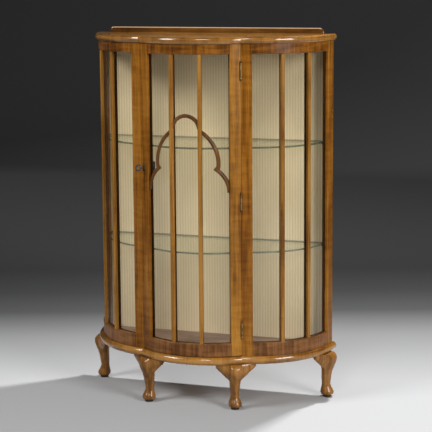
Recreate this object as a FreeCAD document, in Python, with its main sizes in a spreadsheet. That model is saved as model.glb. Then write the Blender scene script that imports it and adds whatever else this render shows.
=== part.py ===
"""Half-moon display cabinet: a glazed walnut china cabinet with a bow-fronted door on cabriole legs.

Millimetres, +Z up, front towards -Y, origin on the floor under the middle of the cabinet.
The plan is three arcs: a bow for the door and one for each side.  They meet in a shallow valley at
each edge of the door.  Angles around an arc are measured from -Y towards +X.
"""
import FreeCAD, Part
import os

import Sketcher

# Driving dimensions, one spreadsheet cell each.
DIMENSIONS = {
    # Plan and heights of the carcass
    "carcass_width": "787",
    "carcass_depth": "310.5",
    "carcass_height": "980",
    "door_radius": "264",
    "door_half_angle": "38.4",
    "side_radius": "272",
    # Boards
    "base_thickness": "24",
    "base_overhang": "14",
    "base_nosing_rise": "7",
    "top_thickness": "20",
    "top_overhang": "10",
    "top_nosing_rise": "5",
    "gallery_length": "732",
    "gallery_height": "18",
    "gallery_thickness": "15",
    "gallery_corner": "17",
    "gallery_round": "5",
    "gallery_housing": "3",
    # Glazed frames
    "frame_thickness": "20",
    "lip_depth": "10",
    "rebate_width": "7",
    "edge_round": "3",
    "front_stile_width": "35",
    "rear_stile_width": "42",
    "door_stile_width": "35",
    "top_rail_height": "33",
    "bottom_rail_height": "42",
    "bar_width": "12.5",
    "door_side_gap": "1",
    "door_end_gap": "2",
    "glass_thickness": "3",
    "glass_play": "0.3",
    # Arched tracery on the door, heights from the carcass floor
    "tracery_width": "10",
    "tracery_depth": "7",
    "crown_radius": "43",
    "crown_height": "716",
    "shoulder_radius": "120",
    "shoulder_inset": "20",
    "shoulder_height": "612",
    "flare_radius": "90",
    "flare_height": "521",
    "crown_overrun_angle": "4",
    "shoulder_low_angle": "-9",
    "shoulder_high_angle": "75",
    "flare_angle": "57",
    # Back and shelves
    "back_panel_thickness": "5",
    "lining_thickness": "3",
    "back_rebate_width": "8",
    "shelf_thickness": "6",
    "shelf_spacing": "330",
    "shelf_gap": "3",
    "peg_diameter": "6",
    "peg_insert": "8",
    "peg_reach": "11",
    "peg_play": "0.05",
    # Butt hinges
    "hinge_length": "50",
    "hinge_inset": "82",
    "leaf_width": "15",
    "leaf_thickness": "1.5",
    "knuckle_diameter": "7",
    "knuckle_offset": "2",
    "hinge_pin_diameter": "3",
    "hinge_pin_play": "0.05",
    "knuckle_play": "0.2",
    "mortise_play": "0.2",
    "finial_diameter": "6.4",
    "finial_height": "5.4",
    "finial_taper": "1.6",
    # Cupboard lock on the inside of the door
    "lock_height": "588",
    "lock_case_width": "33",
    "lock_case_height": "36",
    "lock_case_depth": "11",
    "lock_wall": "1.4",
    "lock_edge_gap": "1",
    "seat_play": "0.1",
    "bolt_height": "10",
    "bolt_thickness": "4",
    "bolt_length": "27",
    "bolt_throw": "8",
    "bolt_rise": "5",
    "bolt_play": "0.3",
    "keeper_play": "0.8",
    "keeper_wall": "3",
    "key_shaft_diameter": "4.4",
    "key_hole_play": "0.3",
    "key_bit_drop": "8",
    "key_bit_length": "3.2",
    "key_bit_thickness": "2",
    "key_bow_width": "22",
    "key_bow_hole": "11",
    "key_bow_thickness": "3",
    "key_bow_sink": "4.5",
    "key_collar_diameter": "6.6",
    "key_collar_length": "2.2",
    "key_stand_off": "10",
    "escutcheon_width": "14",
    "escutcheon_height": "26",
    "escutcheon_thickness": "1.2",
    # Door stops behind the lock stile
    "stop_width": "24",
    "stop_depth": "10",
    "stop_height": "18",
    "stop_gap": "0.5",
    "stop_inset": "52",
    # Cabriole legs, measured from the axis of the ankle
    "front_leg_setback": "3",
    "rear_leg_setback": "-1",
    "leg_height": "146",
    "leg_top_front": "23",
    "leg_top_back": "22",
    "leg_half_width": "22",
    "knee_front": "34",
    "knee_back": "20",
    "knee_height": "126",
    "calf_front": "24",
    "calf_back": "15",
    "calf_half_width": "18.5",
    "calf_height": "96",
    "ankle_radius": "15",
    "ankle_height": "56",
    "shin_height": "37",
    "foot_radius": "21.5",
    "foot_forward": "3",
    "foot_height": "17.5",
    "foot_under_radius": "18.5",
    "foot_under_height": "8.5",
    "foot_pad_radius": "13.5",
    "front_leg_angle": "33.3",
    "rear_leg_angle": "76",
    "ear_reach": "58",
    "ear_start": "12",
    "ear_front": "21",
    "ear_back": "8",
    "ear_drop": "60",
    "ear_end_front": "-5",
    "ear_end_depth": "16",
    "ear_end_drop": "13",
    "outer_ear_reach": "66",
    "outer_ear_end_front": "15",
}

# Sizes and places that follow from the driving dimensions.
DERIVED = {
    "back_y": "(dims.carcass_depth + dims.base_overhang) / 2",
    "floor_z": "dims.leg_height + dims.base_thickness",
    "ceiling_z": "plan.floor_z + dims.carcass_height",
    "half_width": "dims.carcass_width / 2",
    # Longer than anything that is cut off square
    "reach": "2 * dims.carcass_width",
    # Centre of the door's arc and the valley where it meets the side arc
    "door_y": "plan.back_y - dims.carcass_depth + dims.door_radius",
    "valley_x": "dims.door_radius * sin(dims.door_half_angle * 1 deg)",
    "valley_y": "plan.door_y - dims.door_radius * cos(dims.door_half_angle * 1 deg)",
    # Centre of the side arc, which runs from the valley to the back corner
    "side_run_x": "plan.half_width - plan.valley_x",
    "side_run_y": "plan.back_y - plan.valley_y",
    "side_chord": "hypot(plan.side_run_x; plan.side_run_y)",
    "side_rise": "sqrt(dims.side_radius ^ 2 - plan.side_chord ^ 2 / 4)",
    "side_x": "(plan.half_width + plan.valley_x) / 2 - plan.side_rise * plan.side_run_y / plan.side_chord",
    "side_y": "(plan.back_y + plan.valley_y) / 2 + plan.side_rise * plan.side_run_x / plan.side_chord",
    "side_start": "atan2(plan.valley_x - plan.side_x; plan.side_y - plan.valley_y) / 1 deg",
    "side_end": "atan2(plan.half_width - plan.side_x; plan.side_y - plan.back_y) / 1 deg",
    # The door joint lies midway between the two faces that meet in the valley
    "joint_angle": "(dims.door_half_angle + plan.side_start) / 2",
    "joint_slip": "dims.frame_thickness * tan((dims.door_half_angle - plan.joint_angle) * 1 deg)",
    # Angles of the glazed openings
    "door_lip": "dims.door_half_angle - dims.door_stile_width / dims.door_radius * 180 / pi",
    "side_lip_front": "plan.side_start + dims.front_stile_width / dims.side_radius * 180 / pi",
    "side_lip_rear": "plan.side_end - dims.rear_stile_width / dims.side_radius * 180 / pi",
    # Heights of the glazed openings and of the door
    "sight_low": "plan.floor_z + dims.bottom_rail_height",
    "sight_high": "plan.ceiling_z - dims.top_rail_height",
    "door_low": "plan.floor_z + dims.door_end_gap",
    "door_high": "plan.ceiling_z - dims.door_end_gap",
    # Depths from the outer face to the glass and its beads
    "glass_outer": "dims.lip_depth + dims.glass_play",
    "bead_outer": "plan.glass_outer + dims.glass_thickness + dims.glass_play",
    # Back panel and its lining
    "back_rebate_depth": "dims.back_panel_thickness + dims.lining_thickness",
    "rear_inner_x": "plan.side_x + sqrt((dims.side_radius - dims.frame_thickness) ^ 2"
                    " - (plan.side_y - plan.back_y + plan.back_rebate_depth) ^ 2)",
    "back_half_width": "plan.rear_inner_x + dims.back_rebate_width",
    # Lock
    "lock_z": "plan.floor_z + dims.lock_height",
    # The flat lock case touches the hollow inner face of the stile along its two upright edges
    "lock_face": "dims.door_radius - dims.frame_thickness",
    "lock_seat": "sqrt(plan.lock_face ^ 2 - dims.lock_case_width ^ 2 / 4) - dims.seat_play",
    "lock_angle": "(dims.lock_edge_gap + dims.lock_case_width / 2 - plan.joint_slip) / plan.lock_face"
                  " * 180 / pi - dims.door_half_angle",
    "key_hole_radius": "dims.key_shaft_diameter / 2 + dims.key_hole_play",
}

doc = FreeCAD.newDocument("display_cabinet")
dims = doc.addObject("Spreadsheet::Sheet", "dims")
for row, (alias, size) in enumerate(DIMENSIONS.items(), start=1):
    dims.set(f"A{row}", alias)
    dims.set(f"B{row}", size)
    dims.setAlias(f"B{row}", alias)
doc.recompute()

plan = doc.addObject("App::VarSet", "plan")
for name, formula in DERIVED.items():
    plan.addProperty("App::PropertyFloat", name)
    plan.setExpression(name, formula)
    doc.recompute()

# The three arcs of the plan: centre and radius of each outer face
DOOR = ("0", "plan.door_y")
SIDE = ("plan.side_x", "plan.side_y")
PLAN_ARCS = (
    (DOOR, "dims.door_radius"),
    (SIDE, "dims.side_radius"),
    (("-plan.side_x", "plan.side_y"), "dims.side_radius"),
)
PANES = 3
sub_parts = []


def number(formula):
    """The present value of a formula over the spreadsheet."""
    return float(plan.evalExpression(formula))


def arc_degrees(length, radius):
    """Formula for the angle that a length covers along an arc."""
    return f"({length}) / ({radius}) * 180 / pi"


def polar(radius, angle):
    """Formulas for a plan point at an angle around an arc's centre."""
    return f"({radius}) * sin(({angle}) * 1 deg)", f"-({radius}) * cos(({angle}) * 1 deg)"


def keep(thing, label):
    """Name a finished sub-part and list it for export."""
    thing.Label = label
    sub_parts.append(thing)
    return thing


def place(thing, x="0", y="0", z="0", turn=None):
    """Bind an object's place, and its turn about +Z, to formulas."""
    for axis, formula in zip("xyz", (x, y, z)):
        thing.setExpression(f"Placement.Base.{axis}", formula)
    if turn is not None:
        thing.setExpression("Placement.Rotation.Angle", turn)
    return thing


def new_body(name, x="0", y="0", z="0", turn=None):
    return place(doc.addObject("PartDesign::Body", name), x, y, z, turn)


def new_sketch(body, plane, lift="0"):
    """A sketch on one of the body's own planes, lifted along its normal."""
    sketch = body.newObject("Sketcher::SketchObject", f"{body.Name}_sketch")
    sketch.AttachmentSupport = (next(f for f in body.Origin.OriginFeatures if f.Role == plane), "")
    sketch.MapMode = "FlatFace"
    sketch.setExpression("AttachmentOffset.Base.z", lift)
    return sketch


def bind(sketch, constraint, formula):
    """Add a constraint whose value follows a formula."""
    index = sketch.addConstraint(constraint)
    sketch.setExpression(f"Constraints[{index}]", formula)


def draw_outline(sketch, corners):
    """Close an outline through corners (x, y), or (x, y, radius, turn) before an arc.

    The turn is "left" or "right", as seen when walking round the outline.
    """
    up = FreeCAD.Vector(0, 0, 1)
    spots = [FreeCAD.Vector(number(c[0]), number(c[1]), 0) for c in corners]
    ends = []
    for index, corner in enumerate(corners):
        start, finish = spots[index], spots[(index + 1) % len(spots)]
        if len(corner) == 2:
            edge = sketch.addGeometry(Part.LineSegment(start, finish))
            ends.append((edge, 1, 2))
            continue
        radius, left = number(corner[2]), corner[3] == "left"
        chord = finish - start
        rise = up.cross(chord).normalize() * max(radius ** 2 - chord.Length ** 2 / 4, 0) ** 0.5
        centre = (start + finish) / 2 + (rise if left else -rise)
        first, last = (start, finish) if left else (finish, start)
        angles = [FreeCAD.Vector(1, 0, 0).getAngle(p - centre) for p in (first, last)]
        angles = [a if p.y >= centre.y else -a for a, p in zip(angles, (first, last))]
        circle = Part.Circle(centre, up, radius)
        edge = sketch.addGeometry(Part.ArcOfCircle(circle, *angles))
        ends.append((edge, 1, 2) if left else (edge, 2, 1))
    for index, corner in enumerate(corners):
        edge, first, last = ends[index]
        follower, follower_first, _ = ends[(index + 1) % len(ends)]
        sketch.addConstraint(Sketcher.Constraint("Coincident", edge, last, follower, follower_first))
        bind(sketch, Sketcher.Constraint("DistanceX", -1, 1, edge, first, spots[index].x), corner[0])
        bind(sketch, Sketcher.Constraint("DistanceY", -1, 1, edge, first, spots[index].y), corner[1])
        if len(corner) == 4:
            bind(sketch, Sketcher.Constraint("Radius", edge, number(corner[2])), corner[2])
    return sketch


def draw_circle(sketch, x, y, radius):
    centre = FreeCAD.Vector(number(x), number(y), 0)
    edge = sketch.addGeometry(Part.Circle(centre, FreeCAD.Vector(0, 0, 1), number(radius)))
    bind(sketch, Sketcher.Constraint("DistanceX", -1, 1, edge, 3, centre.x), x)
    bind(sketch, Sketcher.Constraint("DistanceY", -1, 1, edge, 3, centre.y), y)
    bind(sketch, Sketcher.Constraint("Radius", edge, number(radius)), radius)
    return sketch


def pad(body, sketch, length):
    feature = body.newObject("PartDesign::Pad", f"{body.Name}_pad")
    feature.Profile = sketch
    feature.setExpression("Length", length)
    sketch.Visibility = False
    return feature


def revolve(body, sketch, angle):
    feature = body.newObject("PartDesign::Revolution", f"{body.Name}_bend")
    feature.Profile = sketch
    feature.ReferenceAxis = (sketch, ["V_Axis"])
    feature.setExpression("Angle", angle)
    return feature


def loft(body, sections):
    feature = body.newObject("PartDesign::AdditiveLoft", f"{body.Name}_loft")
    feature.Profile = sections[0]
    feature.Sections = sections[1:]
    return feature


def box(name, length, width, height, x, y, z, turn=None):
    block = doc.addObject("Part::Box", name)
    for side, formula in (("Length", length), ("Width", width), ("Height", height)):
        block.setExpression(side, formula)
    return place(block, x, y, z, turn)


def cylinder(name, radius, height, x, y, z):
    rod = doc.addObject("Part::Cylinder", name)
    rod.setExpression("Radius", radius)
    rod.setExpression("Height", height)
    return place(rod, x, y, z)


def cut(name, base, *tools):
    """Take tools out of a base, all at once."""
    result = doc.addObject("Part::Cut", name)
    result.Base = base
    result.Tool = tools[0] if len(tools) == 1 else group(f"{name}_tools", tools)
    return result


def common(name, base, tool):
    result = doc.addObject("Part::Common", name)
    result.Base = base
    result.Tool = tool
    return result


def fuse(name, pieces):
    result = doc.addObject("Part::MultiFuse", name)
    result.Shapes = list(pieces)
    result.Refine = True
    return result


def group(name, pieces):
    """Several separate solids in one object."""
    result = doc.addObject("Part::Compound", name)
    result.Links = list(pieces)
    return result


def twin(source, name):
    """The left-hand twin of a right-hand piece."""
    result = doc.addObject("Part::Mirroring", name)
    result.Source = source
    result.Normal = FreeCAD.Vector(1, 0, 0)
    return result


def mirror(source, label):
    """The left-hand twin as a sub-part of its own."""
    return keep(twin(source, label), label)


def cushion(middle, half_length, half_width, share):
    """A four-arc outline; its corners lie at a share of the half sizes, sqrt(1/2) in a circle."""
    corner_x = f"{share} * ({half_length})"
    corner_y = f"{share} * ({half_width})"

    def bulge(chord, rise):
        return f"(({chord}) ^ 2 + ((1 - {share}) * ({rise})) ^ 2) / (2 * (1 - {share}) * ({rise}))"

    side = bulge(corner_x, half_width)
    end = bulge(corner_y, half_length)
    return [
        (f"{middle} + {corner_x}", f"-{corner_y}", end, "left"),
        (f"{middle} + {corner_x}", corner_y, side, "left"),
        (f"{middle} - {corner_x}", corner_y, end, "left"),
        (f"{middle} - {corner_x}", f"-{corner_y}", side, "left"),
    ]


def bent_strip(name, centre, section, start, end, z):
    """A section of (radius, height) corners bent around an arc's centre."""
    body = new_body(name, *centre, z, f"{start} - 90")
    sketch = draw_outline(new_sketch(body, "XZ_Plane"), section)
    revolve(body, sketch, f"({end}) - ({start})")
    return body


def arc_block(name, centre, inner, outer, start, end, low, high):
    """An upright block between two radii and two angles."""
    body = new_body(name, *centre, low)
    corners = [
        (*polar(outer, start), outer, "left"),
        polar(outer, end),
        (*polar(inner, end), inner, "right"),
        polar(inner, start),
    ]
    pad(body, draw_outline(new_sketch(body, "XY_Plane"), corners), f"({high}) - ({low})")
    return body


def radial_rod(name, centre, inner, outer, angle, z, radius):
    """A round rod that points at an arc's centre."""
    body = new_body(name, *centre, z, f"{angle} - 90")
    sketch = draw_circle(new_sketch(body, "YZ_Plane", inner), "0", "0", radius)
    pad(body, sketch, f"({outer}) - ({inner})")
    return body


# Boards: three discs with a half-round nosing, joined and cut off square at the back

def half_moon(label, overhang, low, thickness, rise, *housings):
    """A half-moon board that stands out past the carcass faces; the nosing's middle stands out most."""
    nosing = f"(({thickness}) ^ 2 / 4 + ({rise}) ^ 2) / (2 * {rise})"
    discs = []
    for index, (centre, radius) in enumerate(PLAN_ARCS):
        body = new_body(f"{label}_disc{index}", *centre, low)
        edge = f"{radius} + {overhang} - {rise}"
        section = [("0", "0"), (edge, "0", nosing, "left"), (edge, thickness), ("0", thickness)]
        revolve(body, draw_outline(new_sketch(body, "XZ_Plane"), section), "360")
        discs.append(body)
    whole = fuse(f"{label}_discs", discs)
    behind = box(f"{label}_behind", "plan.reach", "plan.reach", thickness, "-plan.reach / 2",
                 "plan.back_y", low)
    return keep(cut(label, whole, behind, *housings), label)


GALLERY_LOW = "plan.ceiling_z + dims.top_thickness - dims.gallery_housing"
gallery_seat = box("gallery_seat", "dims.gallery_length", "dims.gallery_thickness", "dims.gallery_housing",
                   "-dims.gallery_length / 2", "plan.back_y - dims.gallery_thickness", GALLERY_LOW)
half_moon("base_board", "dims.base_overhang", "dims.leg_height", "dims.base_thickness",
          "dims.base_nosing_rise")
half_moon("top_board", "dims.top_overhang", "plan.ceiling_z", "dims.top_thickness",
          "dims.top_nosing_rise", gallery_seat)


def gallery():
    """The low upstand let into the back of the top, with rounded upper corners and top edge."""
    body = new_body("gallery_rail", "0", "plan.back_y", GALLERY_LOW)
    half = "dims.gallery_length / 2"
    top = "(dims.gallery_housing + dims.gallery_height)"
    corners = [
        (f"-{half}", "0"),
        (half, "0"),
        (half, f"{top} - dims.gallery_corner", "dims.gallery_corner", "left"),
        (f"{half} - dims.gallery_corner", top),
        (f"dims.gallery_corner - {half}", top, "dims.gallery_corner", "left"),
        (f"-{half}", f"{top} - dims.gallery_corner"),
    ]
    upstand = pad(body, draw_outline(new_sketch(body, "XZ_Plane"), corners), "dims.gallery_thickness")
    doc.recompute()
    near_top = number(f"{top} - dims.gallery_round / 2")
    edges = [f"Edge{i}" for i, edge in enumerate(upstand.Shape.Edges, start=1)
             if min(v.Z for v in edge.Vertexes) > near_top]
    rounding = body.newObject("PartDesign::Fillet", "gallery_rounding")
    rounding.Base = (upstand, edges)
    rounding.setExpression("Radius", "dims.gallery_round")
    return keep(body, "gallery_rail")


gallery()


# Glazed frames

def rail_section(radius, height):
    """Section of a bottom rail: a rounded front lip and a rebate behind it for the glass."""
    return [
        (f"{radius} - dims.frame_thickness", "0"),
        (radius, "0"),
        (radius, f"{height} - dims.edge_round", "dims.edge_round", "left"),
        (f"{radius} - dims.edge_round", height),
        (f"{radius} - dims.lip_depth", height),
        (f"{radius} - dims.lip_depth", f"{height} - dims.rebate_width"),
        (f"{radius} - dims.frame_thickness", f"{height} - dims.rebate_width"),
    ]


def haunch_section(radius, height):
    """Section of the back half of a rail, which runs on into the rebates of the stiles."""
    return [
        (f"{radius} - dims.frame_thickness", "0"),
        (f"{radius} - dims.lip_depth", "0"),
        (f"{radius} - dims.lip_depth", f"{height} - dims.rebate_width"),
        (f"{radius} - dims.frame_thickness", f"{height} - dims.rebate_width"),
    ]


def turned_over(section, height):
    """The same section upside down, walked the other way round."""
    flipped = []
    for index, corner in enumerate(section):
        before = section[index - 1]
        arc = before[2:] if len(before) == 4 else ()
        flipped.append((corner[0], f"{height} - ({corner[1]})", *arc))
    return flipped[::-1]


def rail(name, centre, radius, low_lip, high_lip, z, height, over=False):
    """A bent rail between two stiles, with its back half let into their rebates."""
    reach = arc_degrees("dims.rebate_width", radius)
    sections = [rail_section(radius, height), haunch_section(radius, height)]
    if over:
        sections = [turned_over(section, height) for section in sections]
    front = bent_strip(f"{name}_front", centre, sections[0], low_lip, high_lip, z)
    haunch = bent_strip(f"{name}_haunch", centre, sections[1], f"{low_lip} - {reach}",
                        f"{high_lip} + {reach}", z)
    return keep(fuse(name, (front, haunch)), name)


def glazing_bar(name, centre, radius, angle):
    """An upright bar in front of the glass, with rounded front edges."""
    body = new_body(name, *centre, "plan.sight_low")
    half = arc_degrees("dims.bar_width / 2", radius)
    soft = arc_degrees("dims.edge_round", radius)
    back = f"{radius} - dims.lip_depth"
    shoulder = f"{radius} - dims.edge_round"
    corners = [
        (*polar(shoulder, f"{angle} - {half}"), "dims.edge_round", "left"),
        (*polar(radius, f"{angle} - {half} + {soft}"), radius, "left"),
        (*polar(radius, f"{angle} + {half} - {soft}"), "dims.edge_round", "left"),
        polar(shoulder, f"{angle} + {half}"),
        (*polar(back, f"{angle} + {half}"), back, "right"),
        polar(back, f"{angle} - {half}"),
    ]
    sketch = draw_outline(new_sketch(body, "XY_Plane"), corners)
    pad(body, sketch, "plan.sight_high - plan.sight_low")
    return keep(body, name)


def bent_glass(name, centre, radius, low_lip, high_lip):
    """One bent pane, held all round in the rebates."""
    grip = "dims.rebate_width - 2 * dims.glass_play"
    reach = arc_degrees(grip, radius)
    outer = f"{radius} - plan.glass_outer"
    pane = arc_block(name, centre, f"{outer} - dims.glass_thickness", outer, f"{low_lip} - {reach}",
                     f"{high_lip} + {reach}", f"plan.sight_low - ({grip})", f"plan.sight_high + {grip}")
    return keep(pane, name)


def glass_beads(name, centre, radius, low_lip, high_lip, bar_angles):
    """Beads that close the rebates all round behind the glass, and one behind each bar."""
    inner = f"{radius} - dims.frame_thickness"
    outer = f"{radius} - plan.bead_outer"
    reach = arc_degrees("dims.rebate_width", radius)
    half_bar = arc_degrees("dims.bar_width / 2", radius)
    low, high = "plan.sight_low - dims.rebate_width", "plan.sight_high + dims.rebate_width"
    beads = [
        arc_block(f"{name}_first", centre, inner, outer, f"{low_lip} - {reach}", low_lip, low, high),
        arc_block(f"{name}_last", centre, inner, outer, high_lip, f"{high_lip} + {reach}", low, high),
        arc_block(f"{name}_low", centre, inner, outer, low_lip, high_lip, low, "plan.sight_low"),
        arc_block(f"{name}_high", centre, inner, outer, low_lip, high_lip, "plan.sight_high", high),
    ]
    for index, angle in enumerate(bar_angles, start=1):
        beads.append(arc_block(f"{name}_bar_{index}", centre, inner, outer, f"{angle} - {half_bar}",
                               f"{angle} + {half_bar}", "plan.sight_low", "plan.sight_high"))
    return keep(group(name, beads), name)


def glazed_section(side, centre, radius, low_lip, high_lip, low, high, bar_names):
    """Rails, bars, glass and beads between two stiles; returns the pieces by name."""
    low_rail = f"plan.sight_low - {low}"
    high_rail = f"{high} - plan.sight_high"
    bar_angles = {bar: f"({low_lip} + ({high_lip} - ({low_lip})) * {index} / {PANES})"
                  for index, bar in enumerate(bar_names, start=1)}
    pieces = {
        "bottom_rail": rail(f"{side}_bottom_rail", centre, radius, low_lip, high_lip, low, low_rail),
        "top_rail": rail(f"{side}_top_rail", centre, radius, low_lip, high_lip, "plan.sight_high",
                         high_rail, over=True),
        "glass": bent_glass(f"{side}_glass", centre, radius, low_lip, high_lip),
        "glass_beads": glass_beads(f"{side}_glass_beads", centre, radius, low_lip, high_lip,
                                   bar_angles.values()),
    }
    for bar, angle in bar_angles.items():
        pieces[bar] = glazing_bar(f"{side}_{bar}", centre, radius, angle)
    return pieces


right_pieces = glazed_section("right", SIDE, "dims.side_radius", "plan.side_lip_front",
                              "plan.side_lip_rear", "plan.floor_z", "plan.ceiling_z",
                              ("front_bar", "rear_bar"))
for piece_name, piece in right_pieces.items():
    mirror(piece, f"left_{piece_name}")
glazed_section("door", DOOR, "dims.door_radius", "-plan.door_lip", "plan.door_lip",
               "plan.door_low", "plan.door_high", ("left_bar", "right_bar"))


# Stiles

def joint_stile(name, centre, radius, edge, lip, low, high):
    """A stile between the slanted door joint at one edge and a glazed opening at the lip.

    The lip lies at a greater angle than the edge on a fixed stile and at a smaller one on the door.
    """
    body = new_body(name, *centre, low)
    sign = "-" if number(edge) > number(lip) else ""
    turn, back_turn = ("right", "left") if sign else ("left", "right")
    inner = f"{radius} - dims.frame_thickness"
    middle = f"{radius} - dims.lip_depth"
    shoulder = f"{radius} - dims.edge_round"
    half_gap = arc_degrees(f"{sign}dims.door_side_gap / 2", radius)
    slip = arc_degrees(f"{sign}plan.joint_slip", inner)
    soft = arc_degrees(f"{sign}dims.edge_round", radius)
    rebate = arc_degrees(f"{sign}dims.rebate_width", radius)
    corners = [
        (*polar(radius, f"{edge} + {half_gap}"), radius, turn),
        (*polar(radius, f"{lip} - {soft}"), "dims.edge_round", turn),
        polar(shoulder, lip),
        (*polar(middle, lip), middle, back_turn),
        polar(middle, f"{lip} - {rebate}"),
        (*polar(inner, f"{lip} - {rebate}"), inner, back_turn),
        polar(inner, f"{edge} + {half_gap} - {slip}"),
    ]
    pad(body, draw_outline(new_sketch(body, "XY_Plane"), corners), f"{high} - {low}")
    return body


def rear_stile():
    """The right rear stile: a glazed edge in front, a rebate for the back panel behind."""
    body = new_body("right_rear_stile_blank", *SIDE, "plan.floor_z")
    radius = "dims.side_radius"
    lip = "plan.side_lip_rear"
    inner = f"{radius} - dims.frame_thickness"
    middle = f"{radius} - dims.lip_depth"
    soft = arc_degrees("dims.edge_round", radius)
    rebate = arc_degrees("dims.rebate_width", radius)
    back = "plan.back_y - plan.side_y"
    step = f"{back} - plan.back_rebate_depth"
    corners = [
        (*polar(f"{radius} - dims.edge_round", lip), "dims.edge_round", "left"),
        (*polar(radius, f"{lip} + {soft}"), radius, "left"),
        polar(radius, "plan.side_end"),
        ("plan.back_half_width - plan.side_x", back),
        ("plan.back_half_width - plan.side_x", step),
        ("plan.rear_inner_x - plan.side_x", step, inner, "right"),
        polar(inner, f"{lip} + {rebate}"),
        (*polar(middle, f"{lip} + {rebate}"), middle, "right"),
        polar(middle, lip),
    ]
    pad(body, draw_outline(new_sketch(body, "XY_Plane"), corners), "dims.carcass_height")
    return body


SHELF_TOPS = ("plan.floor_z + dims.shelf_spacing", "plan.floor_z + 2 * dims.shelf_spacing")
FRONT_PEG_ANGLE = f"plan.side_start + {arc_degrees('dims.front_stile_width / 2', 'dims.side_radius')}"
REAR_PEG_ANGLE = f"plan.side_end - {arc_degrees('dims.rear_stile_width / 2', 'dims.side_radius')}"


def shelf_peg(name, angle, shelf_top, play):
    """A round peg let into a stile; the same rod with some play drills its hole."""
    face = "dims.side_radius - dims.frame_thickness"
    centre_z = f"{shelf_top} - dims.shelf_thickness - dims.peg_diameter / 2"
    return radial_rod(name, SIDE, f"{face} - dims.peg_reach", f"{face} + dims.peg_insert + {play}",
                      angle, centre_z, f"dims.peg_diameter / 2 + {play}")


def peg_holes(name, angle):
    return [shelf_peg(f"{name}_peg_hole{i}", angle, top, "dims.peg_play")
            for i, top in enumerate(SHELF_TOPS)]


right_rear = keep(cut("right_rear_stile", rear_stile(), *peg_holes("rear", REAR_PEG_ANGLE)),
                  "right_rear_stile")
mirror(right_rear, "left_rear_stile")


# Shelves on their pegs

def shelf(label, top):
    """A glass shelf that follows the inside of the frames with a small gap."""
    low = f"{top} - dims.shelf_thickness"
    inside = "(dims.frame_thickness + dims.shelf_gap)"
    discs = [cylinder(f"{label}_disc{index}", f"{radius} - {inside}", "dims.shelf_thickness", *centre, low)
             for index, (centre, radius) in enumerate(PLAN_ARCS)]
    edge = "plan.back_y - plan.back_rebate_depth - dims.shelf_gap"
    behind = box(f"{label}_behind", "plan.reach", "plan.reach", "dims.shelf_thickness", "-plan.reach / 2",
                 edge, low)
    return keep(cut(label, fuse(f"{label}_discs", discs), behind), label)


for shelf_label, shelf_top in zip(("lower_shelf", "upper_shelf"), SHELF_TOPS):
    shelf(shelf_label, shelf_top)
    right_pegs = [shelf_peg(f"{shelf_label}_{end}_peg", angle, shelf_top, "0")
                  for end, angle in (("front", FRONT_PEG_ANGLE), ("rear", REAR_PEG_ANGLE))]
    left_pegs = [twin(peg, f"{peg.Name}_left") for peg in right_pegs]
    keep(group(f"{shelf_label}_pegs", right_pegs + left_pegs), f"{shelf_label}_pegs")


# Back panel and cloth-covered lining, both in the rebates of the rear stiles

def back_board(label, thickness, behind):
    """A flat board across the back, a little way in front of the back plane."""
    return keep(box(label, "2 * plan.back_half_width", thickness, "dims.carcass_height",
                    "-plan.back_half_width", f"plan.back_y - {behind} - {thickness}", "plan.floor_z"),
                label)


back_board("back_panel", "dims.back_panel_thickness", "0")
back_board("back_lining", "dims.lining_thickness", "dims.back_panel_thickness")


# Hinges in the right-hand door joint

HINGE_TURN = "90 + plan.joint_angle"
HINGE_LOWS = {
    "upper": "plan.door_high - dims.hinge_inset - dims.hinge_length / 2",
    "middle": "(plan.door_low + plan.door_high) / 2 - dims.hinge_length / 2",
    "lower": "plan.door_low + dims.hinge_inset - dims.hinge_length / 2",
}
KNUCKLES = 3


def along_joint(inward, across):
    """Plan point at a depth into the joint and a distance across it, towards the door if positive."""
    sine, cosine = "sin(plan.joint_angle * 1 deg)", "cos(plan.joint_angle * 1 deg)"
    return (f"plan.valley_x - ({inward}) * {sine} - ({across}) * {cosine}",
            f"plan.valley_y + ({inward}) * {cosine} - ({across}) * {sine}")


HINGE_AXIS = along_joint("-dims.knuckle_offset", "0")


def leaf_plate(name, side, low, play):
    """A leaf let flush into one face of the joint; with play it cuts the leaf's mortise."""
    thickness = f"dims.leaf_thickness + {play}"
    across = "dims.door_side_gap / 2"
    if side == "frame":
        across = f"-dims.door_side_gap / 2 - ({thickness})"
    return box(name, f"dims.leaf_width + {play}", thickness, f"dims.hinge_length + 2 * {play}",
               *along_joint("0", across), f"{low} - {play}", HINGE_TURN)


def knuckle_rod(name, radius, low, height):
    return cylinder(name, radius, height, *HINGE_AXIS, low)


def mortises(side):
    """Leaf mortises with a hollow for the knuckle and finials, one set for each hinge."""
    play = "dims.mortise_play"
    end_room = f"(dims.finial_height + dims.hinge_pin_play + {play})"
    cutters = []
    for level, low in HINGE_LOWS.items():
        cutters.append(leaf_plate(f"{side}_{level}_mortise", side, low, play))
        cutters.append(knuckle_rod(f"{side}_{level}_hollow", f"dims.knuckle_diameter / 2 + {play}",
                                   f"{low} - {end_room}", f"dims.hinge_length + 2 * {end_room}"))
    return cutters


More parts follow.
